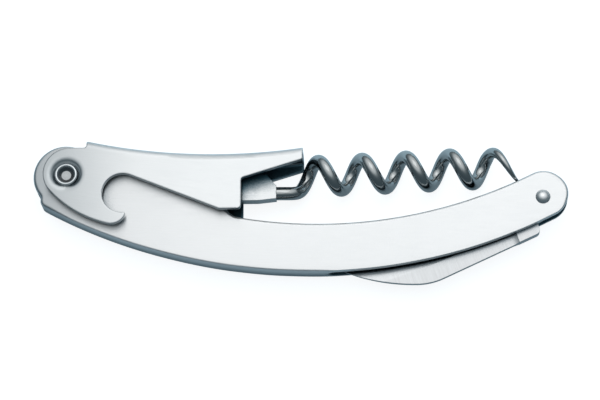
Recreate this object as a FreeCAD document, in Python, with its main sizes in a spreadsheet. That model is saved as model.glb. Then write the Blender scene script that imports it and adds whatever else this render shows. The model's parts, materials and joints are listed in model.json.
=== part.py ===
"""Lever corkscrew (waiter's friend), folded flat and lying on its side.

The handle and the lever are pressed and folded stainless sheet.  X runs along the tool towards the
knife end, Y runs up towards the lever's web, and Z is the axis of every rivet.  The tool lies on the
back wall of its lever, at Z = 0, and every piece is built about the middle plane of the handle.
"""
import FreeCAD
import Part
import math
import os
import re
import Sketcher
from FreeCAD import Vector

doc = FreeCAD.newDocument("Corkscrew")
sheet = doc.addObject("Spreadsheet::Sheet", "Sizes")

SIZES = {
    # where the three rivets stand; the lever's and the worm's are so far above the handle's belly
    "lever_pivot_x": -52.33, "lever_rise": 9.6,
    "worm_pivot_x": -21.78, "worm_rise": 17.637,
    "knife_pivot_x": 54.62, "knife_pivot_y": 2.523,
    # handle: a folded channel, closed along its belly and open along its back
    "handle_width": 5.2, "handle_sheet": 1.0, "edge_round": 0.8,
    "heel_radius": 7.2, "heel_shift_x": -0.5, "heel_shift_y": 0.3, "heel_crest": 48.0, "neck_fillet": 1.0,
    "nose_radius": 5.2, "nose_shift_x": 0.2, "nose_shift_y": 1.05,
    "belly_radius": 123.4, "belly_low_x": 2.66, "back_radius": 104.0, "back_low_x": 5.64,
    "hump_radius": 5.0, "hump_fillet": 4.1, "shoulder_inset": 1.75, "shoulder_fillet": 1.7,
    "slot_width": 2.4, "slot_gap": 2.3,
    # lever: a folded channel turned over the handle, with the crown cap hook and the lip rest
    "lever_width": 9.8, "lever_sheet": 1.2, "bend_inside": 0.6,
    "web_radius": 135.0, "web_low_x": 35.0, "web_low_y": 4.65, "web_start": 4.5, "web_corner": 0.6,
    "ear_radius": 5.9, "ear_shift_x": 0.75, "ear_shift_y": 0.2, "ear_top": 6.15, "ear_low": 216.0,
    "lever_gap": 3.05, "lever_end_low": 2.78,
    "mouth_x": 12.8, "mouth_y": -4.63, "mouth_radius": 4.57, "mouth_lip": 69.0, "mouth_end": -88.0,
    "jaw_radius": 26.0, "jaw_back": 3.0, "jaw_thick": 2.55,
    "tip_radius": 3.4, "tip_width": 0.8, "tip_lean": -43.0,
    "foot_x": 39.5, "foot_width": 4.9, "foot_low": -8.65, "foot_step": -1.5,
    "corner_round": 0.8, "end_round": 0.4,
    "dish_radius": 2.6, "dish_slope": 1.6, "pivot_play": 0.05,
    # lever rivet: a tubular rivet clinched in the dished eyes of the lever, with its spacer tube
    "rivet_radius": 2.0, "rim_radius": 2.55, "rim_inset": 0.15,
    "rivet_bore": 1.9, "rivet_floor": 1.1, "rivet_depth": 1.1, "spacer_wall": 0.75,
    # worm: a helix of round wire whose spigot is pressed in a flat head
    "head_height": 6.6, "head_length": 16.7, "head_slant": 2.7, "head_play": 0.2,
    "wire_radius": 1.5, "wire_low": 1.38, "spigot_radius": 1.0, "spigot_length": 5.5,
    "coil_radius": 3.38, "coil_turns": 4, "coil_start": 25.8, "coil_lift": 2.6, "lead_turns": 0.36,
    "tip_back": 5.05, "tip_sink": 0.15, "point_flare": 0.5, "point_reach": 6.11,
    "point_radius": 0.22, "point_turns": 0.6,
    "worm_rivet_radius": 1.5, "worm_rivet_head": 2.3, "worm_rivet_dome": 0.45,
    # knife: a hawkbill blade on its own domed rivet, with a washer each side
    "knife_thick": 2.1, "knife_angle": 199.0, "grind_depth": 0.55, "grind_start": 8.3,
    "grind_wheel": 3.0, "blade_length": 47.3, "tip_drop": 0.95, "point_arc": 44.0,
    "spine_corner_x": 29.8, "spine_corner_y": 10.0, "spine_round": 14.0,
    "block_x": 3.05, "block_top": 7.2, "block_foot": 4.9, "block_round": 1.2,
    "edge_start": 7.6, "edge_side": -1.0, "edge_arc": 139.0, "bevel_width": 4.5, "edge_land": 0.14,
    "neck_x": 4.9, "neck_y": -2.6, "butt_inset": 0.8, "butt_first": 114.0, "butt_last": 251.0,
    "tooth_radius": 1.5, "tooth_depth": 0.38, "tooth_pitch": 2.2, "tooth_count": 14,
    "knife_rivet_radius": 1.15, "knife_rivet_head": 1.65, "knife_rivet_dome": 0.85,
    "washer_play": 0.03, "hole_play": 0.05,
}

for row, (alias, value) in enumerate(SIZES.items(), start=1):
    sheet.set("A%d" % row, alias)
    sheet.set("B%d" % row, repr(value))
    sheet.setAlias("B%d" % row, alias)
doc.recompute()

WORD = re.compile(r"[a-z_]{4,}")


def bound(text):
    """The expression with every size name pointed at the sheet."""
    return WORD.sub(lambda word: "Sizes." + word.group() if word.group() in SIZES else word.group(), text)


probe = doc.addObject("App::FeaturePython", "Probe")
probe.addProperty("App::PropertyFloat", "Amount")


def value(text):
    """What an expression of sizes comes to, as a plain number."""
    probe.setExpression("Amount", bound(text))
    probe.recompute()
    if "Invalid" in probe.State or "Error" in probe.State:
        raise RuntimeError("%s has no value" % text)
    return probe.Amount


# ---------------------------------------------------------------- shared values
NOSE_X = "(knife_pivot_x + nose_shift_x)"
NOSE_Y = "(knife_pivot_y + nose_shift_y)"
# the belly arc and the back arc both run into the nose circle without a kink
BELLY_REACH = "(belly_radius - nose_radius)"
BELLY_Y = "(%s + sqrt(%s^2 - (%s - belly_low_x)^2))" % (NOSE_Y, BELLY_REACH, NOSE_X)
BACK_REACH = "(back_radius + nose_radius)"
BACK_Y = "(%s + sqrt(%s^2 - (%s - back_low_x)^2))" % (NOSE_Y, BACK_REACH, NOSE_X)


def on_arc(centre_y, radius, low_x, x):
    """The height of the belly or back arc at x."""
    return "(%s - sqrt(%s^2 - (%s - %s)^2))" % (centre_y, radius, x, low_x)


LEVER_Y = "(%s + lever_rise)" % on_arc(BELLY_Y, "belly_radius", "belly_low_x", "lever_pivot_x")
WORM_Y = "(%s + worm_rise)" % on_arc(BELLY_Y, "belly_radius", "belly_low_x", "worm_pivot_x")
MIDDLE = "lever_width / 2"
CHANNEL = "(handle_width - 2 * handle_sheet)"
EYE_INNER = "(handle_width / 2 + pivot_play)"
EYE_OUTER = "(handle_width / 2 + pivot_play + lever_sheet)"
LEVER_END = "(worm_pivot_x + coil_start - lever_gap - lever_pivot_x)"
POINTS_PER_TURN = 14
HEAD_THICK = "(%s - 2 * head_play)" % CHANNEL


# ---------------------------------------------------------------- drawing helpers
def new_body(label, x="0", y="0", angle="0"):
    """A body whose own origin stands on the middle plane at x, y."""
    body = doc.addObject("PartDesign::Body", label)
    body.Label = label
    body.setExpression("Placement.Base.x", bound(x))
    body.setExpression("Placement.Base.y", bound(y))
    body.setExpression("Placement.Base.z", bound(MIDDLE))
    body.setExpression("Placement.Rotation.Angle", bound(angle))
    return body


def new_sketch(body, name, role="XY_Plane", lift="0", across="0", up="0"):
    """A sketch on one of the body's own planes, moved by lift along the normal."""
    plane = [entry for entry in body.Origin.OriginFeatures if entry.Role == role][0]
    sketch = body.newObject("Sketcher::SketchObject", name)
    sketch.AttachmentSupport = [(plane, "")]
    sketch.MapMode = "FlatFace"
    sketch.setExpression("AttachmentOffset.Base.x", bound(across))
    sketch.setExpression("AttachmentOffset.Base.y", bound(up))
    sketch.setExpression("AttachmentOffset.Base.z", bound(lift))
    doc.recompute()
    return sketch


def arc_between(start, end, radius, turn):
    """The arc from start to end that turns left or right, and the ends it has in the sketch."""
    chord = end - start
    side = Vector(-chord.y, chord.x, 0).normalize()
    rise = math.sqrt(max(radius ** 2 - chord.Length ** 2 / 4, 0.0))
    left = turn.startswith("left")
    near = not turn.endswith("long")
    centre = (start + end) / 2 + side * rise * (1 if left == near else -1)
    first, last = (start, end) if left else (end, start)
    angles = [math.atan2(point.y - centre.y, point.x - centre.x) for point in (first, last)]
    arc = Part.ArcOfCircle(Part.Circle(centre, Vector(0, 0, 1), radius), *angles)
    return arc, (1, 2) if left else (2, 1)


def draw_loop(sketch, steps):
    """A closed outline.  A step is (x, y) for a straight, or (x, y, radius, turn) for an arc to x, y."""
    points = [Vector(value(step[0]), value(step[1]), 0) for step in steps]
    edges = []
    for number, step in enumerate(steps):
        start, end = points[number - 1], points[number]
        if len(step) == 2:
            edges.append((Part.LineSegment(start, end), (1, 2)))
        else:
            edges.append(arc_between(start, end, value(step[2]), step[3]))
    base = sketch.GeometryCount
    sketch.addGeometry([shape for shape, ends in edges], False)
    constraints, bindings = [], []
    for number, (shape, ends) in enumerate(edges):
        step, here = steps[number], base + number
        follower = (number + 1) % len(edges)
        constraints.append(("Coincident", here, ends[1], base + follower, edges[follower][1][0]))
        for axis, text in (("DistanceX", step[0]), ("DistanceY", step[1])):
            bindings.append((len(constraints), text))
            constraints.append((axis, -1, 1, here, ends[1], value(text)))
        if len(step) > 2:
            bindings.append((len(constraints), step[2]))
            constraints.append(("Radius", here, value(step[2])))
    first = sketch.ConstraintCount
    sketch.addConstraint([Sketcher.Constraint(*entry) for entry in constraints])
    for index, text in bindings:
        sketch.setExpression("Constraints[%d]" % (first + index), bound(text))
    doc.recompute()


def draw_circle(sketch, x, y, radius):
    """A circle at x, y."""
    centre = Vector(value(x), value(y), 0)
    here = sketch.addGeometry(Part.Circle(centre, Vector(0, 0, 1), value(radius)), False)
    for axis, text in (("DistanceX", x), ("DistanceY", y)):
        index = sketch.addConstraint(Sketcher.Constraint(axis, -1, 1, here, 3, value(text)))
        sketch.setExpression("Constraints[%d]" % index, bound(text))
    index = sketch.addConstraint(Sketcher.Constraint("Radius", here, value(radius)))
    sketch.setExpression("Constraints[%d]" % index, bound(radius))


def draw_axis(sketch, x):
    """A construction line along the sketch's own Y at x, for a form turned about Z."""
    foot = Vector(value(x), 0, 0)
    line = sketch.addGeometry(Part.LineSegment(foot, foot + Vector(0, 1, 0)), True)
    for end in (1, 2):
        index = sketch.addConstraint(Sketcher.Constraint("DistanceX", -1, 1, line, end, foot.x))
        sketch.setExpression("Constraints[%d]" % index, bound(x))
    sketch.addConstraint(Sketcher.Constraint("DistanceY", -1, 1, line, 1, 0.0))
    sketch.addConstraint(Sketcher.Constraint("DistanceY", line, 1, line, 2, 1.0))
    doc.recompute()


def pad(body, sketch, name, thick):
    """Material each side of the middle plane, thick in all."""
    feature = body.newObject("PartDesign::Pad", name)
    feature.Profile = sketch
    feature.Midplane = True
    feature.setExpression("Length", bound(thick))
    doc.recompute()
    return feature


def pocket(body, sketch, name, deep, both=True, back=False):
    """A cut through the middle plane, or to one side of the sketch, that has to take material away."""
    before = body.Shape.Volume
    feature = body.newObject("PartDesign::Pocket", name)
    feature.Profile = sketch
    feature.Midplane = both
    feature.Reversed = back
    feature.setExpression("Length", bound(deep))
    doc.recompute()
    if not body.Shape.Volume < before:
        raise RuntimeError("%s takes nothing away" % name)
    return feature


def spin(body, sketch, name, kind="Revolution", axis="V_Axis", angle="360", both=False):
    """A turned form, or with kind Groove a turned cut, about an axis of the sketch."""
    feature = body.newObject("PartDesign::" + kind, name)
    feature.Profile = sketch
    feature.ReferenceAxis = (sketch, [axis])
    feature.setExpression("Angle", bound(angle))
    feature.Midplane = both
    doc.recompute()
    return feature


def upright_edges(body, spots):
    """Names of the last feature's straight edges along Z that stand at the given x, y."""
    places = [Vector(value(x), value(y), 0) for x, y in spots]
    names = []
    for number, edge in enumerate(body.Tip.Shape.Edges, start=1):
        first, last = edge.Vertexes[0].Point, edge.Vertexes[-1].Point
        flat = Vector(first.x, first.y, 0)
        if abs(first.z - last.z) > 0.5 and flat.distanceToPoint(Vector(last.x, last.y, 0)) < 1e-6:
            if any(flat.distanceToPoint(place) < 1e-3 for place in places):
                names.append("Edge%d" % number)
    return names


def round_edges(body, name, edges, radius):
    """A fillet on named edges of the body's last feature."""
    last = body.Tip
    feature = body.newObject("PartDesign::Fillet", name)
    feature.Base = (last, edges)
    feature.setExpression("Radius", bound(radius))
    doc.recompute()
    return feature


def hole(body, name, radius, x="0", y="0"):
    """A round hole along Z through the whole body."""
    sketch = new_sketch(body, name + "_sketch")
    draw_circle(sketch, x, y, radius)
    return pocket(body, sketch, name, "4 * lever_width")


# ---------------------------------------------------------------- handle
def make_handle():
    """One blank of sheet folded into a channel: belly closed, back open, slotted for the knife."""
    heel_x = "(lever_pivot_x + heel_shift_x)"
    heel_y = "(%s + heel_shift_y)" % LEVER_Y
    nose_x, nose_y = NOSE_X, NOSE_Y
    belly_x, belly_y, belly_reach = "belly_low_x", BELLY_Y, BELLY_REACH
    back_x, back_y, back_reach = "back_low_x", BACK_Y, BACK_REACH
    # the shoulder, which stops the open lever, turns into the belly through a small fillet
    shoulder_x = "(%s - heel_radius + shoulder_inset)" % heel_x
    turn_x = "(%s + shoulder_fillet)" % shoulder_x
    turn_y = ("(%s - sqrt((belly_radius - shoulder_fillet)^2 - (%s - %s)^2))"
              % (belly_y, belly_x, turn_x))
    turn_share = "(belly_radius / (belly_radius - shoulder_fillet))"
    # the hump round the worm's rivet drops to the back edge through a fillet
    hump_side = "(worm_pivot_x + hump_radius)"
    bay_x = "(%s + hump_fillet)" % hump_side
    bay_y = "(%s - sqrt((back_radius - hump_fillet)^2 - (%s - %s)^2))" % (back_y, bay_x, back_x)
    bay_share = "(back_radius / (back_radius - hump_fillet))"
    # the crest is a straight from the heel circle to the top of the hump
    crest_x = "(%s + heel_radius * cos(heel_crest))" % heel_x
    crest_y = "(%s + heel_radius * sin(heel_crest))" % heel_y
    run = "sqrt((worm_pivot_x - %s)^2 + (%s - %s)^2)" % (crest_x, crest_y, WORM_Y)
    lean = "(acos(hump_radius / %s) - asin((%s - %s) / %s))" % (run, crest_y, WORM_Y, run)
    top_x = "(worm_pivot_x - hump_radius * cos(%s))" % lean
    top_y = "(%s + hump_radius * sin(%s))" % (WORM_Y, lean)
    # between heel and shoulder the edge runs in through a small hollow
    hollow_x = "(%s - neck_fillet)" % shoulder_x
    hollow_y = ("(%s - sqrt((heel_radius + neck_fillet)^2 - (%s - %s)^2))"
                % (heel_y, heel_x, hollow_x))
    hollow_share = "(heel_radius / (heel_radius + neck_fillet))"

    body = new_body("handle")
    sketch = new_sketch(body, "handle_outline")
    draw_loop(sketch, [
        (crest_x, crest_y),
        ("(%s + (%s - %s) * %s)" % (heel_x, hollow_x, heel_x, hollow_share),
         "(%s + (%s - %s) * %s)" % (heel_y, hollow_y, heel_y, hollow_share), "heel_radius", "left"),
        (shoulder_x, hollow_y, "neck_fillet", "right"),
        (shoulder_x, turn_y),
        ("(%s + (%s - %s) * %s)" % (belly_x, turn_x, belly_x, turn_share),
         "(%s - (%s - %s) * %s)" % (belly_y, belly_y, turn_y, turn_share), "shoulder_fillet", "left"),
        ("(%s + (%s - %s) * belly_radius / %s)" % (belly_x, nose_x, belly_x, belly_reach),
         "(%s - (%s - %s) * belly_radius / %s)" % (belly_y, belly_y, nose_y, belly_reach),
         "belly_radius", "left"),
        ("(%s - (%s - %s) * nose_radius / %s)" % (nose_x, nose_x, back_x, back_reach),
         "(%s + (%s - %s) * nose_radius / %s)" % (nose_y, back_y, nose_y, back_reach),
         "nose_radius", "left-long"),
        ("(%s + (%s - %s) * %s)" % (back_x, bay_x, back_x, bay_share),
         "(%s - (%s - %s) * %s)" % (back_y, back_y, bay_y, bay_share), "back_radius", "right"),
        (hump_side, bay_y, "hump_fillet", "right"),
        (hump_side, WORM_Y),
        (top_x, top_y, "hump_radius", "left"),
    ])
    blank = pad(body, sketch, "handle_blank", "handle_width")
    # the bent edges of belly and nose, and the coined edge of the heel, are rounded
    rims = [value(name) for name in ("heel_radius", "neck_fillet", "shoulder_fillet",
                                     "belly_radius", "nose_radius")]
    flats = []
    for number, edge in enumerate(blank.Shape.Edges, start=1):
        level = edge.BoundBox.ZLength < 1e-6
        if level and any(abs(getattr(edge.Curve, "Radius", 0) - rim) < 1e-6 for rim in rims):
            flats.append("Edge%d" % number)
    round_edges(body, "handle_edges", flats, "edge_round")

    # the inside of the channel, open all along the back
    inner = new_sketch(body, "handle_channel_sketch")
    wall_in = "(belly_radius - handle_sheet)"
    nose_in = "(nose_radius - handle_sheet)"
    far_left = "(%s - 2 * heel_radius)" % heel_x
    far_up = "(%s + 3 * heel_radius)" % LEVER_Y
    draw_loop(inner, [
        (far_left, far_up),
        (far_left, "(%s - sqrt(%s^2 - (%s - %s)^2))" % (belly_y, wall_in, belly_x, far_left)),
        ("(%s + (%s - %s) * %s / %s)" % (belly_x, nose_x, belly_x, wall_in, belly_reach),
         "(%s - (%s - %s) * %s / %s)" % (belly_y, belly_y, nose_y, wall_in, belly_reach),
         wall_in, "left"),
        ("(%s + %s)" % (nose_x, nose_in), nose_y, nose_in, "left"),
        ("(%s - (%s - %s) * %s / %s)" % (nose_x, nose_x, back_x, nose_in, back_reach),
         "(%s + (%s - %s) * %s / %s)" % (nose_y, back_y, nose_y, nose_in, back_reach),
         nose_in, "left"),
        ("(%s - (%s - %s) * 2 * nose_radius / %s)" % (nose_x, nose_x, back_x, back_reach), far_up),
    ])
    pocket(body, inner, "handle_channel", CHANNEL)

    # the slot that the knife swings through, from beyond its point to the back of the nose
    slot = new_sketch(body, "handle_slot_sketch")
    belly_low = "(knife_pivot_y - %s + belly_radius)" % belly_y
    slot_x = "(knife_pivot_x - sqrt((blade_length + slot_gap)^2 - %s^2))" % belly_low
    beyond = "(%s + 3 * nose_radius)" % nose_x
    below = "(knife_pivot_y - 2 * %s)" % belly_low
    draw_loop(slot, [(slot_x, far_up), (slot_x, below), (beyond, below), (beyond, far_up)])
    pocket(body, slot, "handle_slot", "slot_width")

    hole(body, "lever_rivet_hole", "rivet_radius", "lever_pivot_x", LEVER_Y)
    hole(body, "worm_rivet_hole", "worm_rivet_radius", "worm_pivot_x", WORM_Y)
    hole(body, "knife_rivet_hole", "knife_rivet_radius", "knife_pivot_x", "knife_pivot_y")
    return body


# ---------------------------------------------------------------- lever
def make_lever():
    """One blank folded over the handle: two like walls under a web, with the eyes dished inwards."""
    half, wall = "(lever_width / 2)", "(lever_width / 2 - lever_sheet)"
    bend = "(bend_inside + lever_sheet)"
    under = "(web_low_y - lever_sheet)"
    jaw_low_x = "(mouth_x - jaw_back)"
    jaw_low_y = "(mouth_y - mouth_radius - jaw_thick)"
    foot_of_fold = "(%s - 3 * lever_sheet)" % jaw_low_y

    body = new_body("lever", "lever_pivot_x", LEVER_Y)
    fold = new_sketch(body, "lever_fold", "YZ_Plane", lift="web_low_x")
    draw_loop(fold, [
        (foot_of_fold, half),
        (foot_of_fold, wall),
        ("(%s - bend_inside)" % under, wall),
        (under, "(%s - bend_inside)" % wall, "bend_inside", "right"),
        (under, "(bend_inside - %s)" % wall),
        ("(%s - bend_inside)" % under, "(-%s)" % wall, "bend_inside", "right"),
        (foot_of_fold, "(-%s)" % wall),
        (foot_of_fold, "(-%s)" % half),
        ("(web_low_y - %s)" % bend, "(-%s)" % half),
        ("web_low_y", "(%s - %s)" % (bend, half), bend, "left"),
        ("web_low_y", "(%s - %s)" % (half, bend)),
        ("(web_low_y - %s)" % bend, half, bend, "left"),
    ])
    draw_axis(fold, "(web_low_y + web_radius)")
    sweep = "(2 * asin((web_low_x + 3 * ear_radius / 2) / web_radius))"
    spin(body, fold, "lever_channel", axis="Axis0", angle=sweep, both=True)

    # no web over the ears, where the handle's heel turns
    ears = new_sketch(body, "lever_ears_sketch")
    far = "(3 * ear_radius)"
    draw_loop(ears, [("(-%s)" % far, far), ("(-%s)" % far, "(-2 * %s)" % far),
                     ("web_start", "(-2 * %s)" % far), ("web_start", far)])
    pocket(body, ears, "lever_ears", "2 * " + wall)

    # both walls are cut to one outline
    trim = new_sketch(body, "lever_trim_sketch")
    top_at = "(web_low_y + web_radius - sqrt(web_radius^2 - (%s - web_low_x)^2) + lever_sheet)"
    web_corner_x = "(web_start + web_corner)"
    web_top = "(%s - lever_sheet)" % (top_at % web_corner_x)
    end = LEVER_END
    frame_x, frame_y = "(%s + web_radius / 2)" % end, "(4 * ear_radius)"
    back_frame = "(-web_radius / 2)"
    frame_low = "(3 * %s)" % jaw_low_y
    draw_loop(trim, [(back_frame, frame_y), (back_frame, frame_low), (frame_x, frame_low),
                     (frame_x, frame_y)])
    mouth_top_x = "(mouth_x + mouth_radius * cos(mouth_lip))"
    mouth_top_y = "(mouth_y + mouth_radius * sin(mouth_lip))"
    mouth_end_x = "(mouth_x + mouth_radius * cos(mouth_end))"
    mouth_end_y = "(mouth_y + mouth_radius * sin(mouth_end))"
    foot_left = "(foot_x - foot_width)"
    draw_loop(trim, [
        ("ear_shift_x", "ear_top"),
        ("(ear_shift_x + ear_radius * cos(ear_low))", "(ear_shift_y + ear_radius * sin(ear_low))",
         "ear_radius", "left"),
        (jaw_low_x, jaw_low_y, "jaw_radius", "left"),
        ("(%s + tip_width * cos(tip_lean))" % mouth_end_x,
         "(%s + tip_width * sin(tip_lean))" % mouth_end_y, "tip_radius", "left"),
        (mouth_end_x, mouth_end_y, "(5 * tip_width / 9)", "left"),
        (mouth_top_x, mouth_top_y, "mouth_radius", "right-long"),
        (foot_left, "foot_low"),
        ("foot_x", "foot_low"),
        ("foot_x", "foot_step"),
        (end, "lever_end_low"),
        (end, top_at % end),
        (web_corner_x, top_at % web_corner_x),
        (web_corner_x, web_top),
        ("web_start", "(%s - web_corner)" % web_top, "web_corner", "left"),
        ("web_start", "(ear_top + web_corner)"),
        ("(web_start - web_corner)", "ear_top", "web_corner", "right"),
    ])
    pocket(body, trim, "lever_outline", "2 * lever_width")
    corners = upright_edges(body, [("foot_x", "foot_low"), ("foot_x", "foot_step"),
                                   (foot_left, "foot_low")])
    round_edges(body, "lever_corners", corners, "corner_round")
    round_edges(body, "lever_end", upright_edges(body, [(end, "lever_end_low")]), "end_round")

    # the eyes: each wall is dished inwards until it meets the handle
    dish = new_sketch(body, "lever_dish_sketch", "XZ_Plane")
    cup_foot, boss_foot = "dish_radius", "(dish_radius + 3 * lever_sheet / 4)"
    inside_wall, outside = "(%s - 5 * lever_sheet / 6)" % half, "(%s + lever_sheet)" % half
    for sign in ("", "-"):
        draw_loop(dish, mirrored([
            ("0", EYE_INNER), (boss_foot, EYE_INNER),
            *dish_side(boss_foot, EYE_INNER, wall),
            ("(%s + dish_slope)" % boss_foot, inside_wall), ("0", inside_wall)], sign))
    spin(body, dish, "lever_dish")
    cup = new_sketch(body, "lever_cup_sketch", "XZ_Plane")
    for sign in ("", "-"):
        draw_loop(cup, mirrored([
            ("0", EYE_OUTER), (cup_foot, EYE_OUTER),
            *dish_side(cup_foot, EYE_OUTER, half),
            ("(%s + dish_slope)" % cup_foot, outside), ("0", outside)], sign))
    spin(body, cup, "lever_cup", kind="Groove")
    hole(body, "lever_rivet_hole_moving", "(rivet_radius + hole_play)")
    return body


def dish_side(foot, low, level):
    """The side of a dished eye: two like arcs that run smoothly from its floor out to the wall."""
    rise = "(%s - %s)" % (level, low)
    radius = "((dish_slope^2 + %s^2) / (4 * %s))" % (rise, rise)
    return [("(%s + dish_slope / 2)" % foot, "((%s + %s) / 2)" % (low, level), radius, "left"),
            ("(%s + dish_slope)" % foot, level, radius, "right")]


def mirrored(steps, sign):
    """The same outline above the sketch's axis, or below it when sign is a minus."""
    if not sign:
        return steps
    following = steps[1:] + steps[:1]
    return [(here[0], "(-%s)" % here[1]) + tuple(after[2:]) for here, after in zip(steps, following)][::-1]


# ---------------------------------------------------------------- rivets, spacer and washers
def make_lever_rivet():
    """A tubular rivet: plain head at the back, and its drilled end clinched over in front."""
    body = new_body("lever_rivet", "lever_pivot_x", LEVER_Y)
    sketch = new_sketch(body, "lever_rivet_profile", "XZ_Plane")
    seat = "(%s + hole_play)" % EYE_OUTER
    top = "(lever_width / 2 - rim_inset)"
    crown = "(%s - %s)" % (top, seat)
    curl = "((rim_radius - rivet_bore) / 2)"
    draw_loop(sketch, [
        ("0", "(-%s)" % top),
        ("(rim_radius - %s / 2)" % crown, "(-%s)" % top),
        ("rim_radius", "(%s / 2 - %s)" % (crown, top), "(%s / 2)" % crown, "left"),
        ("rim_radius", "(-%s)" % seat),
        ("rivet_radius", "(-%s)" % seat),
        ("rivet_radius", seat),
        ("rim_radius", seat),
        ("rim_radius", "(%s - %s / 2)" % (top, crown)),
        ("((rim_radius + rivet_bore) / 2)", "(%s - %s / 2 + %s)" % (top, crown, curl), curl, "left"),
        ("rivet_bore", "(%s - %s / 2)" % (top, crown), curl, "left"),
        ("rivet_floor", "(%s - rivet_depth)" % top),
        ("0", "(%s - rivet_depth)" % top),
    ])
    spin(body, sketch, "lever_rivet_turned")
    return body


def make_domed_rivet(label, x, y, shank, head, dome):
    """A solid rivet with a low dome at each end, headed tight on the handle's walls."""
    body = new_body(label, x, y)
    sketch = new_sketch(body, label + "_profile", "XZ_Plane")
    seat = "(handle_width / 2)"
    curve = "((%s^2 + %s^2) / (2 * %s))" % (head, dome, dome)
    draw_loop(sketch, [
        ("0", "(-%s - %s)" % (seat, dome)),
        (head, "(-%s)" % seat, curve, "left"),
        (shank, "(-%s)" % seat),
        (shank, seat),
        (head, seat),
        ("0", "(%s + %s)" % (seat, dome), curve, "left"),
    ])
    spin(body, sketch, label + "_turned")
    return body


def make_ring(label, x, y, inner, outer, thick, lift="0"):
    """A flat ring or short tube round a rivet."""
    body = new_body(label, x, y)
    sketch = new_sketch(body, label + "_ring", lift=lift)
    draw_circle(sketch, "0", "0", outer)
    draw_circle(sketch, "0", "0", inner)
    pad(body, sketch, label + "_disc", thick)
    return body


# ---------------------------------------------------------------- worm
def make_worm_head():
    """The flat head: an eye round its rivet, and a bore in its far end for the worm's spigot."""
    body = new_body("worm_head", "worm_pivot_x", WORM_Y)
    sketch = new_sketch(body, "worm_head_outline")
    half = "(head_height / 2)"
    collar = "(wire_radius - wire_low)"
    draw_loop(sketch, [
        ("0", half),
        ("(-%s)" % half, "0", half, "left"),
        ("0", "(-%s)" % half, half, "left"),
        ("(head_length - 3 * head_slant / 2)", "(-%s)" % half),
        ("head_length", "(-wire_low - wire_radius)"),
        ("head_length", collar),
        ("(head_length - head_slant)", half),
    ])
    pad(body, sketch, "worm_head_blank", HEAD_THICK)
    bore = new_sketch(body, "worm_head_bore_sketch", "YZ_Plane", lift="head_length")
    draw_circle(bore, "(-wire_low)", "0", "spigot_radius")
    pocket(body, bore, "worm_head_bore", "spigot_length", both=False)
    hole(body, "worm_head_eye", "(worm_rivet_radius + hole_play)")
    return body


def make_worm_screw():
    """The worm: spigot, shank and helix in one wire, drawn out to a point that tucks in the channel."""
    wire, coil = value("wire_radius"), value("coil_radius")
    turns, reach, flare = value("coil_turns"), value("point_reach"), value("point_flare")
    shoulder = Vector(value("head_length"), -value("wire_low"), 0)
    first_top = Vector(value("coil_start"), value("coil_lift"), 0)
    # the point tucks in just below the handle's back edge
    tip_x = "(knife_pivot_x - tip_back)"
    back_edge = on_arc(BACK_Y, "back_radius", "back_low_x", tip_x)
    last = Vector(value("%s - worm_pivot_x" % tip_x),
                  value("%s - tip_sink + coil_radius + point_flare - %s" % (back_edge, WORM_Y)), 0)
    forward = (last - first_top).normalize()
    upward = Vector(-forward.y, forward.x, 0)
    pitch = ((last - first_top).Length - reach) / turns

    def helix(turn):
        """A point of the right-handed helix; its last half turn is stretched and opened to the point."""
        run_out = (2 * max(turn - turns, 0)) ** 2
        angle = 2 * math.pi * turn
        around = upward * math.cos(angle) + Vector(0, 0, 1) * math.sin(angle)
        along = pitch * turn + (reach - pitch / 2) * run_out
        return first_top + forward * along + around * (coil + flare * run_out)

    def stations(first, final):
        count = round((final - first) * POINTS_PER_TURN)
        return [helix(first + (final - first) * step / count) for step in range(count + 1)]

    taper_from = turns + 0.5 - value("point_turns")
    wire_points = stations(-value("lead_turns"), taper_from)
    point_points = stations(taper_from, turns + 0.5)
    # only the start of the wire has a set direction, straight out of the head
    path = [shoulder] + wire_points + point_points[1:]
    free = len(path) - 1
    curve = Part.BSplineCurve()
    curve.interpolate(path, Tangents=[Vector(1, 0, 0)] + [Vector(0, 0, 0)] * free,
                      TangentFlags=[True] + [False] * free)

    def swept(cuts, radii):
        """Round wire along the curve, one face from cut to cut, of the given radius at its ends."""
        edges = [Part.Edge(curve, first, final) for first, final in zip(cuts, cuts[1:])]
        sweep = Part.BRepOffsetAPI.MakePipeShell(Part.Wire(edges))
        sweep.setFrenetMode(True)
        for cut, radius in zip((cuts[0], cuts[-1]), radii):
            section = Part.Circle(curve.value(cut), curve.tangent(cut)[0], radius)
            sweep.add(Part.Wire([section.toShape()]), False, False)
        sweep.build()
        sweep.makeSolid()
        return sweep.shape()

    halves = [curve.parameter(helix(half / 2)) for half in range(int(2 * taper_from) + 1)]
    taper = curve.parameter(point_points[0])
    coil_wire = swept([curve.FirstParameter] + halves + [taper], [wire])
    point = swept([taper, curve.LastParameter], [wire, value("point_radius")])
    spigot_length = value("spigot_length")
    spigot = Part.makeCylinder(value("spigot_radius"), spigot_length,
                               shoulder - Vector(spigot_length, 0, 0), Vector(1, 0, 0))
    feature = doc.addObject("Part::Feature", "worm_screw")
    feature.Label = "worm_screw"
    feature.Shape = coil_wire.fuse([point, spigot])
    feature.setExpression("Placement.Base.x", bound("worm_pivot_x"))
    feature.setExpression("Placement.Base.y", bound(WORM_Y))
    feature.setExpression("Placement.Base.z", bound(MIDDLE))
    doc.recompute()
    return feature


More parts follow.
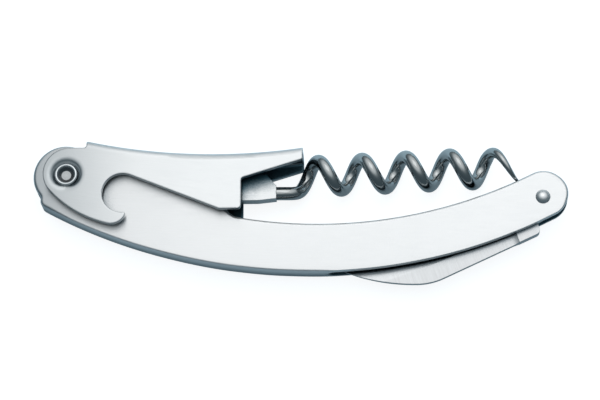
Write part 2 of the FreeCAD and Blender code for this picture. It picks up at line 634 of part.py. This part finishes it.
# ---------------------------------------------------------------- knife
def make_knife():
    """A hawkbill blade, drawn with its own X from the rivet to the point and its spine at +Y."""
    body = new_body("knife_blade", "knife_pivot_x", "knife_pivot_y", "knife_angle")
    # the nose circle of the handle, seen in the closed knife's own axes, is what the butt is flush with
    turn = "knife_angle"
    butt_x = "(nose_shift_x * cos(%s) + nose_shift_y * sin(%s))" % (turn, turn)
    butt_y = "(nose_shift_y * cos(%s) - nose_shift_x * sin(%s))" % (turn, turn)
    butt = "(nose_radius - butt_inset)"
    sketch = new_sketch(body, "knife_outline")
    draw_loop(sketch, [
        ("spine_corner_x", "spine_corner_y", "point_arc", "left"),
        ("block_x", "block_top"),
        ("block_x", "block_foot"),
        ("(%s + %s * cos(butt_first))" % (butt_x, butt), "(%s + %s * sin(butt_first))" % (butt_y, butt)),
        ("(%s + %s * cos(butt_last))" % (butt_x, butt), "(%s + %s * sin(butt_last))" % (butt_y, butt),
         butt, "left"),
        ("neck_x", "neck_y"),
        ("edge_start", "edge_side"),
        ("blade_length", "tip_drop", "edge_arc", "right"),
    ])
    pad(body, sketch, "knife_blank", "knife_thick")
    round_edges(body, "knife_spine", upright_edges(body, [("spine_corner_x", "spine_corner_y")]),
                "spine_round")
    round_edges(body, "knife_block", upright_edges(body, [("block_x", "block_top")]), "block_round")
    # both faces are ground back from the block to the point, and the wheel's radius runs out at the block
    ground = new_sketch(body, "knife_ground_sketch", "XZ_Plane")
    face, floor = "(knife_thick / 2)", "(knife_thick / 2 - grind_depth)"
    beyond = "(2 * blade_length)"
    for sign in ("", "-"):
        draw_loop(ground, mirrored([
            ("grind_start", face),
            ("(grind_start + sqrt(2 * grind_wheel * grind_depth - grind_depth^2))", floor,
             "grind_wheel", "left"),
            (beyond, floor), (beyond, "knife_thick"), ("grind_start", "knife_thick")], sign))
    pocket(body, ground, "knife_grind", "8 * spine_corner_y")
    # the edge is a shallow arc about a centre far below it; bevels and teeth follow that arc
    run, rise = "(blade_length - edge_start)", "(tip_drop - edge_side)"
    chord = "sqrt(%s^2 + %s^2)" % (run, rise)
    far = "sqrt(edge_arc^2 - %s^2 / 4)" % chord
    centre_x = "((edge_start + blade_length) / 2 + %s / %s * %s)" % (rise, chord, far)
    centre_y = "((edge_side + tip_drop) / 2 - %s / %s * %s)" % (run, chord, far)
    edge_y = "(%s + edge_arc)" % centre_y
    tilt = "asin(%s / %s)" % (rise, chord)
    bevel = new_sketch(body, "knife_bevel_sketch", "YZ_Plane", lift=centre_x)
    for sign in ("", "-"):
        draw_loop(bevel, mirrored([
            (edge_y, "edge_land"),
            ("(%s + bevel_width)" % edge_y, "(knife_thick / 2 - grind_depth)"),
            ("(%s + bevel_width)" % edge_y, "knife_thick"),
            ("(%s - knife_thick)" % edge_y, "knife_thick"),
            ("(%s - knife_thick)" % edge_y, "edge_land")], sign))
    draw_axis(bevel, centre_y)
    sweep = "(2 * asin(%s / (2 * edge_arc)) + 2 * abs(%s))" % (chord, tilt)
    spin(body, bevel, "knife_bevel", kind="Groove", axis="Axis0", angle=sweep, both=True)
    tooth = new_sketch(body, "knife_tooth_sketch", across=centre_x, up=centre_y)
    step = "(tooth_pitch / edge_arc * 180 deg / pi)"
    reach = "(edge_arc + tooth_depth - tooth_radius)"
    aside = "((tooth_count - 1) * %s / 2 - %s)" % (step, tilt)
    draw_circle(tooth, "(%s * sin(%s))" % (reach, aside), "(%s * cos(%s))" % (reach, aside), "tooth_radius")
    cut = pocket(body, tooth, "knife_tooth", "2 * knife_thick")
    row = body.newObject("PartDesign::PolarPattern", "knife_teeth")
    row.Originals = [cut]
    row.Axis = (tooth, ["N_Axis"])
    row.setExpression("Angle", bound("(tooth_count - 1) * " + step))
    row.setExpression("Occurrences", bound("tooth_count"))
    body.Tip = row
    doc.recompute()
    hole(body, "knife_eye", "(knife_rivet_radius + hole_play)")
    return body


def write_parts(pieces):
    """Check every object, then write each piece to a STEP file named after it."""
    doc.recompute()
    for item in doc.Objects:
        if "Invalid" in item.State or "Error" in item.State:
            raise RuntimeError("%s failed: %s" % (item.Label, item.State))
    os.makedirs("parts", exist_ok=True)
    for piece in pieces:
        shape = piece.Shape
        if shape.isNull() or not shape.isValid() or len(shape.Solids) != 1:
            raise RuntimeError("%s is not one valid solid" % piece.Label)
        shape.exportStep("parts/%s.step" % piece.Label)
        print("%-22s %9.2f mm3" % (piece.Label, shape.Volume))


WASHER = "((%s - knife_thick) / 2 - 2 * washer_play)" % CHANNEL
WASHER_EDGE = "(nose_radius - handle_sheet - sqrt(nose_shift_x^2 + nose_shift_y^2) - washer_play)"
WASHER_AT = "(knife_thick / 4 + %s / 4)" % CHANNEL
write_parts([
    make_handle(),
    make_lever(),
    make_lever_rivet(),
    make_ring("lever_spacer", "lever_pivot_x", LEVER_Y, "rivet_radius",
              "(rivet_radius + spacer_wall)", CHANNEL),
    make_worm_head(),
    make_worm_screw(),
    make_domed_rivet("worm_rivet", "worm_pivot_x", WORM_Y,
                     "worm_rivet_radius", "worm_rivet_head", "worm_rivet_dome"),
    make_knife(),
    make_domed_rivet("knife_rivet", "knife_pivot_x", "knife_pivot_y",
                     "knife_rivet_radius", "knife_rivet_head", "knife_rivet_dome"),
    make_ring("knife_washer_front", "knife_pivot_x", "knife_pivot_y", "knife_rivet_radius",
              WASHER_EDGE, WASHER, WASHER_AT),
    make_ring("knife_washer_rear", "knife_pivot_x", "knife_pivot_y", "knife_rivet_radius",
              WASHER_EDGE, WASHER, "(-%s)" % WASHER_AT),
])
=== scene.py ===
"""Lever corkscrew (waiter's friend), folded shut and lying on its side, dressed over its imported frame."""
import json
import math

import bpy
from mathutils import Matrix, Vector


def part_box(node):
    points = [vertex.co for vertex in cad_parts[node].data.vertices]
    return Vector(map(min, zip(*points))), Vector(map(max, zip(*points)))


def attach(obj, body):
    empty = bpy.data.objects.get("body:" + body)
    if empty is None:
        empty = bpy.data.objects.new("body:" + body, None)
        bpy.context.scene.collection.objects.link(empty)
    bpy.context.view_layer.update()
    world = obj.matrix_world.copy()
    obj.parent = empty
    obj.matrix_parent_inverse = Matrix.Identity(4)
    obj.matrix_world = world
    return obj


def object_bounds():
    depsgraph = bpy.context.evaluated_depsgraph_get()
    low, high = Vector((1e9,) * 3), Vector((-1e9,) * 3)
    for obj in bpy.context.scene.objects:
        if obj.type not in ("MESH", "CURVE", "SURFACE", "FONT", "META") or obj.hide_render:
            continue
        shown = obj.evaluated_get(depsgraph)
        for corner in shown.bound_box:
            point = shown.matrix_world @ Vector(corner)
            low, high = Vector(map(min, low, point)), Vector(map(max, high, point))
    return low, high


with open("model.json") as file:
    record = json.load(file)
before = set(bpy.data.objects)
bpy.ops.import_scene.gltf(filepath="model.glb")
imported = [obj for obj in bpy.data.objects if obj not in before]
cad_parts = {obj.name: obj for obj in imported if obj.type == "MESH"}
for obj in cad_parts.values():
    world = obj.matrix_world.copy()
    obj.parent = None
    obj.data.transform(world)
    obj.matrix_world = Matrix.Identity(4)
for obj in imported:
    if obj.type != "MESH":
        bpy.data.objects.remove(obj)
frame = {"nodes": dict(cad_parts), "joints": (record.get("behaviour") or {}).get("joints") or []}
cad_box = [list(corner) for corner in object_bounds()]


# ---------------------------------------------------------------- camera
# A long lens looks down on the tool from above.  It leans a little towards the belly, so the fold shows,
# and a little towards the nose.
mm = 0.001
scene = bpy.context.scene
scene.view_settings.view_transform = "Standard"

low, high = Vector(cad_box[0]), Vector(cad_box[1])
middle = (low + high) / 2
aim = middle + Vector((0.22, 3.373, 0.0)) * mm
distance = 563.0 * mm
lean = math.radians(18.0)
swing = math.radians(2.5)
backward = Vector((math.sin(swing), -math.sin(lean) * math.cos(swing), math.cos(lean) * math.cos(swing)))
rightward = Vector((0, 1, 0)).cross(backward).normalized()
upward = backward.cross(rightward)

lens = bpy.data.cameras.new("long_lens")
lens.lens = 150.0
lens.sensor_width = 36.0
lens.clip_start = 0.01
camera = bpy.data.objects.new("camera", lens)
camera.matrix_world = (
    Matrix.Translation(aim + backward * distance)
    @ Matrix((rightward, upward, backward)).transposed().to_4x4()
)
scene.collection.objects.link(camera)
scene.camera = camera


# ---------------------------------------------------------------- light tent and soft box
# A white cloth tent stands round the table.  It is brightest overhead and behind the tool, runs down to
# a cool grey at its foot, and shows as plain white.  One soft box hangs in it and gives the shadows.
def feed(node, inputs):
    """Give a node its inputs: another node's socket is joined, and a plain value is set."""
    for key, value in inputs.items():
        if isinstance(value, bpy.types.NodeSocket):
            node.id_data.links.new(value, node.inputs[key])
        else:
            node.inputs[key].default_value = value


def add_node(tree, kind, inputs=None, **settings):
    """Add a node with its settings and inputs."""
    node = tree.nodes.new(kind)
    for key, value in settings.items():
        setattr(node, key, value)
    feed(node, inputs or {})
    return node


def fill_ramp(ramp, stops):
    """Set a colour ramp to a list of stops, each a place and a colour."""
    for place, colour in stops[2:]:
        ramp.elements.new(place)
    for stop, (place, colour) in zip(ramp.elements, stops):
        stop.position = place
        stop.color = (*colour, 1)


brightest_way = Vector((0.04, 0.48, 0.88)).normalized()
tent_stops = [(0.05, (0.090, 0.125, 0.145)), (0.40, (0.11, 0.145, 0.165)), (0.62, (0.26, 0.30, 0.32)),
              (0.80, (0.88, 0.92, 0.94)), (1.00, (1.22, 1.24, 1.25))]
world = bpy.data.worlds.new("light_tent")
world.use_nodes = True
scene.world = world
sky = world.node_tree
sky.nodes.clear()
way = add_node(sky, "ShaderNodeTexCoord").outputs["Generated"]
towards = add_node(sky, "ShaderNodeVectorMath", {0: way, 1: brightest_way}, operation="DOT_PRODUCT")
cloth = add_node(sky, "ShaderNodeValToRGB", {"Fac": towards.outputs["Value"]})
cloth.color_ramp.interpolation = "B_SPLINE"
fill_ramp(cloth.color_ramp, tent_stops)
lit = add_node(sky, "ShaderNodeBackground", {"Color": cloth.outputs["Color"], "Strength": 1.0})
white = add_node(sky, "ShaderNodeBackground", {"Color": (1, 1, 1, 1)})
seen = add_node(sky, "ShaderNodeLightPath").outputs["Is Camera Ray"]
chosen = add_node(sky, "ShaderNodeMixShader",
                  {"Fac": seen, 1: lit.outputs["Background"], 2: white.outputs["Background"]})
add_node(sky, "ShaderNodeOutputWorld", {"Surface": chosen.outputs["Shader"]})

box_place = Vector((0.03, 0.16, 0.30))
lamp = bpy.data.lights.new("soft_box", "AREA")
lamp.shape = "RECTANGLE"
lamp.size = 0.22
lamp.size_y = 0.20
lamp.energy = 0.085
soft_box = bpy.data.objects.new("soft_box", lamp)
soft_box.location = aim + box_place
soft_box.rotation_euler = box_place.to_track_quat("Z", "Y").to_euler()
soft_box.visible_camera = False
scene.collection.objects.link(soft_box)


# ---------------------------------------------------------------- table
# A sheet of matt white paper under the tool.  It shows as plain white.  To the steel's mirror rays it glows
# dim and cool, a painted reflection that is darker in front, where the tool shades it, and brighter behind.
def maths(tree, operation, *values):
    """A sum with numbers or sockets."""
    return add_node(tree, "ShaderNodeMath", dict(enumerate(values)), operation=operation).outputs["Value"]


def eased(tree, value, start, end, at_start=0.0, at_end=1.0):
    """A level that eases from one size to another while the value goes from start to end."""
    run = {"Value": value, "From Min": start, "From Max": end, "To Min": at_start, "To Max": at_end}
    return add_node(tree, "ShaderNodeMapRange", run, interpolation_type="SMOOTHSTEP").outputs["Result"]


def mixed(tree, share, first, second, blend="MIX"):
    """A colour between two others, or one colour laid over another."""
    colours = {"Factor": share, "A": first, "B": second}
    return add_node(tree, "ShaderNodeMix", colours, data_type="RGBA", blend_type=blend).outputs["Result"]


reach = 3.0
beneath = 0.02 * mm
corners = [(-reach, -reach), (reach, -reach), (reach, reach), (-reach, reach)]
table_mesh = bpy.data.meshes.new("table")
table_mesh.from_pydata([(x, y, low.z - beneath) for x, y in corners], [], [(0, 1, 2, 3)])
table = bpy.data.objects.new("table", table_mesh)
scene.collection.objects.link(table)

paper = bpy.data.materials.new("white_paper")
paper.use_nodes = True
paper_tree = paper.node_tree
ray = add_node(paper_tree, "ShaderNodeLightPath").outputs
spot = add_node(paper_tree, "ShaderNodeNewGeometry").outputs["Position"]
spot_y = add_node(paper_tree, "ShaderNodeSeparateXYZ", {"Vector": spot}).outputs["Y"]
in_front, behind = middle.y + 2 * mm, middle.y + 30 * mm
dim, dim_behind = 0.14, 0.45
cool, plain = (0.74, 1.0, 1.14, 1), (1, 1, 1, 1)
# painted reflection: the paper glows for mirror rays, dimmer in front of the tool as painted shadow
painted_reflection = maths(paper_tree, "MULTIPLY", eased(paper_tree, spot_y, in_front, behind, dim, dim_behind),
                 ray["Is Glossy Ray"])
feed(paper_tree.nodes["Principled BSDF"], {
    "Base Color": (0.33, 0.42, 0.48, 1),
    "Roughness": 0.9,
    "Specular IOR Level": 0.1,
    "Emission Color": mixed(paper_tree, ray["Is Camera Ray"], cool, plain),
    "Emission Strength": maths(paper_tree, "MULTIPLY_ADD", ray["Is Camera Ray"], 0.88, painted_reflection),
})
table_mesh.materials.append(paper)


# ---------------------------------------------------------------- handle
# A curved channel of 1 mm stainless sheet, folded along the belly, its flat walls brushed lengthwise with
# a fine belt and the fold left a little rounder and smoother.  It carries all three rivets.
def vector_maths(tree, operation, inputs, result="Vector"):
    """A sum with vectors."""
    return add_node(tree, "ShaderNodeVectorMath", inputs, operation=operation).outputs[result]


def brushed_tone(tree, place, grain, angle):
    """The belt's lines, turned by an angle and as fine (per mm) along and across as the grain says, and
    the tone that they give with a slow change from handling and from the belt's pressure."""
    along, across = grain[0] / mm, grain[1] / mm
    turned = add_node(tree, "ShaderNodeMapping",
                      {"Vector": place, "Rotation": (0, 0, math.radians(-angle))})
    drawn = add_node(tree, "ShaderNodeMapping",
                     {"Vector": turned.outputs["Vector"], "Scale": (along, across, across)})
    fine = add_node(tree, "ShaderNodeTexNoise",
                    {"Vector": drawn.outputs["Vector"], "Scale": 1.0, "Detail": 4.0, "Roughness": 0.7})
    slow = add_node(tree, "ShaderNodeTexNoise", {"Vector": place, "Scale": 0.06 / mm, "Detail": 3.0})
    fine_share, slow_share = 0.65, 0.35
    lines = fine.outputs["Fac"]
    slow_part = maths(tree, "MULTIPLY", slow.outputs["Fac"], slow_share)
    return lines, maths(tree, "MULTIPLY_ADD", lines, fine_share, slow_part)


def changed(tree, bright, where, change):
    """A brightness, changed by a share of itself as far as where is 1."""
    return maths(tree, "MULTIPLY", bright, maths(tree, "MULTIPLY_ADD", where, change, 1.0))


def corner_shading(tree, facing, sideways, nook, open_run, gloom, deep, lee):
    """Painted shade in the corners: how bright the metal is drawn where the occlusion finds it hemmed in.
    """
    around = add_node(tree, "ShaderNodeAmbientOcclusion", {"Distance": nook}, samples=8)
    if lee:
        flat = maths(tree, "SUBTRACT", 1.0, sideways)
        leaning = vector_maths(tree, "SCALE", {0: lee, "Scale": flat})
        tilted = vector_maths(tree, "ADD", {0: facing, 1: leaning})
        feed(around, {"Normal": vector_maths(tree, "NORMALIZE", {0: tilted})})
    deepest = 0.08
    clear = eased(tree, around.outputs["AO"], *open_run, deepest)
    return maths(tree, "POWER", clear, maths(tree, "MULTIPLY_ADD", sideways, deep, gloom))


def brightness(tree, place, side=0.75, nook=5.0 * mm, open_run=(0.15, 0.80), gloom=1.0, deep=1.0, lee=None,
               inside=None, dulled=None, fade=None):
    """The painted shade on the metal: how bright each spot is drawn, from 0 in the deepest corner to 1 on
    an open flat.
    side: how bright a cut side that faces the belly or the heel is drawn against the flat, as painted shade
    nook, open_run: how far a corner's shade reaches, and from how open to how open it clears
    gloom, deep: how dark the corners are, and how much more so on a side
    lee: the side from which the flats are kept in shade by what stands over them
    inside: (middle z, half width) of a channel whose inner walls are drawn nearly black as painted shade
    dulled: (from x, to x, how bright) of an end drawn darker as painted shade
    fade: (low z, high z, how bright low, how bright high) of sides drawn darker towards the table and
    lighter above it, as painted shade"""
    axes = add_node(tree, "ShaderNodeSeparateXYZ", {"Vector": place}).outputs
    facing = add_node(tree, "ShaderNodeNewGeometry").outputs["Normal"]
    upward_part = add_node(tree, "ShaderNodeSeparateXYZ", {"Vector": facing}).outputs["Z"]
    level = maths(tree, "ABSOLUTE", upward_part)
    sideways = eased(tree, level, 0.35, 0.95, 1.0, 0.0)
    bright = corner_shading(tree, facing, sideways, nook, open_run, gloom, deep, lee)

    # painted shade: cut sides that face the belly or the heel, away from the light, are drawn darker
    shaded_way = (-0.55, -0.83, 0.0)
    facing_shaded = vector_maths(tree, "DOT_PRODUCT", {0: facing, 1: shaded_way}, "Value")
    bright = changed(tree, bright, sideways, eased(tree, facing_shaded, -0.4, 0.3, 0.0, side - 1.0))
    # painted shade: the channel's inner walls are drawn nearly black
    if inside:
        mid_z, half_width = inside
        channel_wall_shade = 0.05
        off_middle = maths(tree, "ABSOLUTE", maths(tree, "SUBTRACT", axes["Z"], mid_z))
        within = maths(tree, "LESS_THAN", off_middle, half_width)
        inner_wall = maths(tree, "MULTIPLY", within, maths(tree, "GREATER_THAN", level, 0.7))
        bright = changed(tree, bright, inner_wall, channel_wall_shade - 1.0)
    # painted shade: one end of the piece is drawn darker
    if dulled:
        bright = maths(tree, "MULTIPLY", bright, eased(tree, axes["X"], *dulled))
    # painted shade: sides are drawn darker towards the table and lighter above
    if fade:
        low_z, high_z, bright_low, bright_high = fade
        slope = eased(tree, axes["Z"], low_z, high_z, bright_low - 1.0, bright_high - 1.0)
        bright = changed(tree, bright, sideways, slope)
    return bright


def steel(name, colour, rough, grain, angle=0.0, streaks=0.25, brushed=0.8, mottle=1.0, edge=0.12 * mm,
          **light):
    """Brushed steel of a colour and a roughness, with the lines that brushed_tone draws.
    streaks, brushed: how deep the lines are, and how far they spread the light across them
    mottle: how much the tone changes over the piece
    edge: how far sharp edges are broken
    light: the settings of the painted shade in the base colour"""
    made = bpy.data.materials.new(name)
    made.use_nodes = True
    tree = made.node_tree
    place = add_node(tree, "ShaderNodeTexCoord").outputs["Object"]
    lines, tone = brushed_tone(tree, place, grain, angle)
    darker = [v * (1 - 0.10 * mottle) for v in colour] + [1]
    lighter = [min(v * (1 + 0.08 * mottle), 1.0) for v in colour] + [1]
    metal = mixed(tree, tone, darker, lighter)
    # the share of each colour that is left in the deepest shade, which is a cold blue
    left_in_shade = (0.035, 0.11, 0.15)
    shade = [v * left for v, left in zip(colour, left_in_shade)] + [1]

    sheen = add_node(tree, "ShaderNodeMapRange", {"Value": tone, "From Min": 0.3, "From Max": 0.7,
                                                  "To Min": rough * 0.82, "To Max": rough * 1.18})
    broken_edge = add_node(tree, "ShaderNodeBevel", {"Radius": edge}, samples=8).outputs["Normal"]
    relief = add_node(tree, "ShaderNodeBump", {"Strength": streaks, "Distance": 0.01 * mm, "Height": lines,
                                               "Normal": broken_edge})
    # light spreads across the lines and hardly along them
    run = math.radians(angle) + (0.0 if grain[0] < grain[1] else math.pi / 2)
    tangent = add_node(tree, "ShaderNodeVectorTransform", {"Vector": (-math.sin(run), math.cos(run), 0.0)},
                       vector_type="VECTOR", convert_from="OBJECT", convert_to="WORLD")
    # the base colour carries the painted shade of corners, sides, channels and ends
    feed(tree.nodes["Principled BSDF"], {
        "Base Color": mixed(tree, brightness(tree, place, **light), shade, metal),
        "Metallic": 1.0,
        "Roughness": sheen.outputs["Result"],
        "Normal": relief.outputs["Normal"],
        "Anisotropic": brushed,
        "Tangent": tangent.outputs["Vector"],
    })
    return made


def dress(name, material):
    """Give a node its finish, in the slot that it already has."""
    mesh = frame["nodes"][name].data
    if mesh.materials:
        for index in range(len(mesh.materials)):
            mesh.materials[index] = material
    else:
        mesh.materials.append(material)


# painted shade: corners, the channel's inner walls, the heel end and the belly's sides are drawn darker
handle_steel = steel("handle_satin", (0.79, 0.81, 0.82), rough=0.34, grain=(0.18, 2.4), angle=-3.0,
                     mottle=1.8, open_run=(0.08, 0.58), deep=2.6, lee=(-0.9, 0.05, 0.0),
                     inside=(middle.z, 1.75 * mm), dulled=(-64 * mm, -42 * mm, 0.50),
                     fade=(3.4 * mm, 6.6 * mm, 0.45, 1.35))
dress("handle", handle_steel)


# ---------------------------------------------------------------- edges of the handle's walls
# The outer edge of each wall, where the sheet turns over along the belly and round the nose.  It is the
# handle's own satin steel, soft in the bend by the heel, and crisp and a little proud beside the slot.
pivots = {joint["name"]: Vector(joint["pos_m"]) for joint in frame["joints"]}
belly_radius = 123.4 * mm
belly_low_x = 2.66 * mm
start_x = -57.0 * mm
nose_radius = 5.2 * mm
nose_centre = pivots["knife_pivot"].xy + Vector((0.2, 1.05)) * mm
nose_wrap = math.radians(125)
nose_x = 57.1 * mm
widest_bend = 0.8 * mm
lap = 0.10 * mm
hair = 0.015 * mm
belly_steps, nose_steps, bend_steps = 160, 40, 12
# how the edge changes from heel to nose: each mark is a place along it and a size, both in millimetres
bend_marks = [(-57, 0.8), (-50, 0.42), (4, 0.42), (9, 0.10), (58, 0.14), (61.5, 0.6), (68.4, 0.8)]
proud_marks = [(-57, 0.0), (-32, 0.0), (-14, 0.13), (-4, 0.22), (9, 0.40), (22, 0.50), (36, 0.54),
               (50, 0.42), (57, 0.30), (63, 0.28), (68.4, 0.0)]
slot_marks = [(-57, 0.0), (6, 0.0), (7.8, 1.215)]


def ease(place, marks):
    """A size that eases from mark to mark along an edge."""
    for (start, here), (end, there) in zip(marks, marks[1:]):
        if place <= end * mm:
            part = max((place / mm - start) / (end - start), 0.0)
            part = part * part * (3 - 2 * part)
            return (here + (there - here) * part) * mm
    return marks[-1][1] * mm


def edge_section(radius, place, side, half):
    """The edge cut across, as pairs: how far out from the arc's centre, and how far from mid width.
    It starts on the wall, goes round the bend and ends under it, at the slot or at mid width."""
    bend = ease(place, bend_marks) if side > 0 else widest_bend
    rim = radius + ease(place, proud_marks) + hair
    slot_side = ease(place, slot_marks)
    section = [(radius - widest_bend - lap, half + hair)]
    for step in range(bend_steps + 1):
        corner = math.radians(90 * step / bend_steps)
        section.append((rim - bend * (1 - math.sin(corner)), half + hair - bend * (1 - math.cos(corner))))
    return section + [(rim, slot_side), (radius - lap, slot_side)]


def fold_edge(name, side):
    """One wall's edge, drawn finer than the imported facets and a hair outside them, and lapping a little
    on to the wall.  Side is 1 in front and -1 behind."""
    box_low, box_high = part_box("handle")
    mid_z, half = (box_low[2] + box_high[2]) / 2, (box_high[2] - box_low[2]) / 2
    belly_centre = Vector((belly_low_x, box_low[1] + belly_radius))
    start = math.asin((start_x - belly_centre.x) / belly_radius)
    meet = math.asin((nose_centre.x - belly_centre.x) / (nose_centre - belly_centre).length)
    path = []
    for step in range(belly_steps + 1):
        turn = start + (meet - start) * step / belly_steps
        path.append((belly_centre, belly_radius, turn, belly_low_x + belly_radius * math.sin(turn)))
    for step in range(1, nose_steps + 1):
        turn = meet + nose_wrap * step / nose_steps
        path.append((nose_centre, nose_radius, turn, nose_x + nose_radius * (turn - meet)))

    points, faces = [], []
    for centre, radius, turn, place in path:
        section = edge_section(radius, place, side, half)
        for out, height in section:
            points.append((centre.x + out * math.sin(turn), centre.y - out * math.cos(turn),
                           mid_z + side * height))
    rows = len(section)
    for column in range(len(path) - 1):
        for row in range(rows - 1):
            here = column * rows + row
            face = (here, here + 1, here + rows + 1, here + rows)
            faces.append(face if side > 0 else face[::-1])
    mesh = bpy.data.meshes.new(name)
    mesh.from_pydata(points, [], faces)
    mesh.shade_smooth()
    mesh.set_sharp_from_angle(angle=math.radians(40))
    mesh.materials.append(handle_steel)
    edge = bpy.data.objects.new(name, mesh)
    scene.collection.objects.link(edge)
    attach(edge, "handle_body")


fold_edge("fold_edge_front", 1)
fold_edge("fold_edge_rear", -1)


# ---------------------------------------------------------------- lever
# One blank of stainless sheet folded into a shorter channel over the handle.  Its two walls end in the
# crown cap hook and in the step that rests on the bottle's lip, and its eyes are dished round the rivet.
# painted shade: corners, cut sides, the channel's inner walls and the heel end are drawn darker
lever_steel = steel("lever_satin", (0.78, 0.805, 0.815), rough=0.34, grain=(0.20, 2.6), angle=-9.0,
                    mottle=1.6, edge=0.5 * mm, side=0.46, open_run=(0.0, 0.50),
                    inside=(middle.z, 3.8 * mm), dulled=(-64 * mm, -34 * mm, 0.60))
lever_axis = tuple(pivots["lever_pivot"])
dish_radius = 4.6 * mm
dish_floor_radius = 2.5 * mm
dish_slope = 0.95


def from_axis(tree, centre):
    """How a spot lies to a rivet's axis: its offset, the part square to the axis, and its distance."""
    place = add_node(tree, "ShaderNodeTexCoord").outputs["Object"]
    offset = vector_maths(tree, "SUBTRACT", {0: place, 1: centre})
    square = vector_maths(tree, "MULTIPLY", {0: offset, 1: (1, 1, 0)})
    return offset, square, vector_maths(tree, "LENGTH", {0: square}, "Value")


def dish_round(material, centre, outer, steep, slope):
    """Shade the dish round the rivet as one smooth funnel that steepens from the outer to the steep radius.
    On the belly side it hardly leans back, so it mirrors none of the bright cloth behind the tool."""
    tree = material.node_tree
    offset, square, radius = from_axis(tree, centre)
    inward = vector_maths(tree, "NORMALIZE", {0: square})
    lean_in = eased(tree, radius, steep, outer, -slope, 0.0)
    leaning = vector_maths(tree, "SCALE", {0: inward, "Scale": lean_in})
    most_lean = (1.0, 0.04, 1.0)
    shallow = vector_maths(tree, "MINIMUM", {0: leaning, 1: most_lean})
    above = add_node(tree, "ShaderNodeSeparateXYZ", {"Vector": offset}).outputs["Z"]
    outward = maths(tree, "SIGN", above)
    out_of_wall = add_node(tree, "ShaderNodeCombineXYZ", {"Z": outward}).outputs["Vector"]
    funnel = add_node(tree, "ShaderNodeVectorTransform",
                      {"Vector": vector_maths(tree, "ADD", {0: shallow, 1: out_of_wall})},
                      vector_type="NORMAL", convert_from="OBJECT", convert_to="WORLD").outputs["Vector"]
    choice = add_node(tree, "ShaderNodeMix", {"Factor": maths(tree, "LESS_THAN", radius, outer),
                                              "A": tree.nodes["Bevel"].outputs["Normal"], "B": funnel},
                      data_type="VECTOR")
    feed(tree.nodes["Bump"], {"Normal": choice.outputs["Result"]})


dish_round(lever_steel, lever_axis, dish_radius, dish_floor_radius, dish_slope)
dress("lever", lever_steel)


# ---------------------------------------------------------------- lever rivet and spacer
# A tubular rivet, turned bright, whose drilled end is rolled over in the front eye.  A short tube
# between the handle's walls keeps the channel from closing when the rivet is set.
# painted shade: a little in the rivet's corners, and more in its bore below
rivet_steel = steel("turned_bright", (0.70, 0.725, 0.74), rough=0.24, grain=(2.0, 2.0), brushed=0.0,
                    side=0.9, nook=2.0 * mm, gloom=0.4, deep=0.0)
bore_floor_radius = 1.10 * mm
bore_radius = 1.85 * mm
# how dark the painted shade on the bore's walls is drawn
bore_darkness = 0.28


def paint_bore_shade(material, centre, disc, bore, dark):
    """Painted shade in the drilled bore: the disc at its floor is drawn a little darker, and the walls up
    to the rolled rim much darker.
    """
    tree = material.node_tree
    shader = tree.nodes["Principled BSDF"]
    ramp_reach = 2.5 * mm
    rings = [(0.0, 0.62), (disc * 0.9, 0.55), (disc * 1.1, dark), (bore * 0.95, dark), (bore * 1.05, 1.0)]
    share = maths(tree, "DIVIDE", from_axis(tree, centre)[2], ramp_reach)
    tone = add_node(tree, "ShaderNodeValToRGB", {"Fac": share})
    fill_ramp(tone.color_ramp, [(place / ramp_reach, (level, level * 1.02, level * 1.03))
                                for place, level in rings])
    metal = shader.inputs["Base Color"].links[0].from_socket
    feed(shader, {"Base Color": mixed(tree, 1.0, metal, tone.outputs["Color"], "MULTIPLY")})


paint_bore_shade(rivet_steel, lever_axis, bore_floor_radius, bore_radius, bore_darkness)
dress("lever_rivet", rivet_steel)
dress("lever_spacer", steel("spacer_tube", (0.70, 0.72, 0.73), rough=0.35, grain=(1.0, 3.0)))


# ---------------------------------------------------------------- worm
# Hardened steel wire wound to a right-handed helix and drawn out to a point, left dark from the quench
# and then tumbled, so that it shines.  Its spigot is pressed into a flat bar that turns on a rivet.
# painted shade: the wire is drawn a little darker on its sides and between its turns
worm_wire = steel("quenched_wire", (0.425, 0.45, 0.455), rough=0.13, grain=(0.4, 0.4), brushed=0.0,
                  side=0.85, deep=0.0)
# painted shade: the bar is drawn dark under the lever's web above it
worm_bar = steel("head_bar", (0.72, 0.745, 0.755), rough=0.30, grain=(0.25, 3.0), open_run=(0.50, 0.86),
                 gloom=1.8, lee=(0.0, 0.9, 0.0))
dress("worm_screw", worm_wire)
dress("worm_head", worm_bar)
dress("worm_rivet", steel("worm_rivet_steel", (0.76, 0.78, 0.79), rough=0.30, grain=(1.5, 1.5)))


# ---------------------------------------------------------------- knife
# A hawkbill blade blanked from thicker strip, with both faces ground across from the block to the point
# and shallow teeth along the edge for the foil.  A domed rivet holds it in the nose between thin washers.
# painted shade: the blade is drawn dark in the corner under the handle's wall
blade_steel = steel("ground_blade", (0.66, 0.68, 0.695), rough=0.32, grain=(2.0, 0.12), angle=199.0,
                    streaks=0.5, mottle=4.5, gloom=4.5)
dress("knife_blade", blade_steel)
dress("knife_rivet", steel("knife_rivet_steel", (0.76, 0.785, 0.80), rough=0.30, grain=(1.5, 1.5),
                           brushed=0.0))
for washer in ("knife_washer_front", "knife_washer_rear"):
    dress(washer, steel(washer + "_steel", (0.60, 0.62, 0.63), rough=0.35, grain=(1.5, 1.5)))
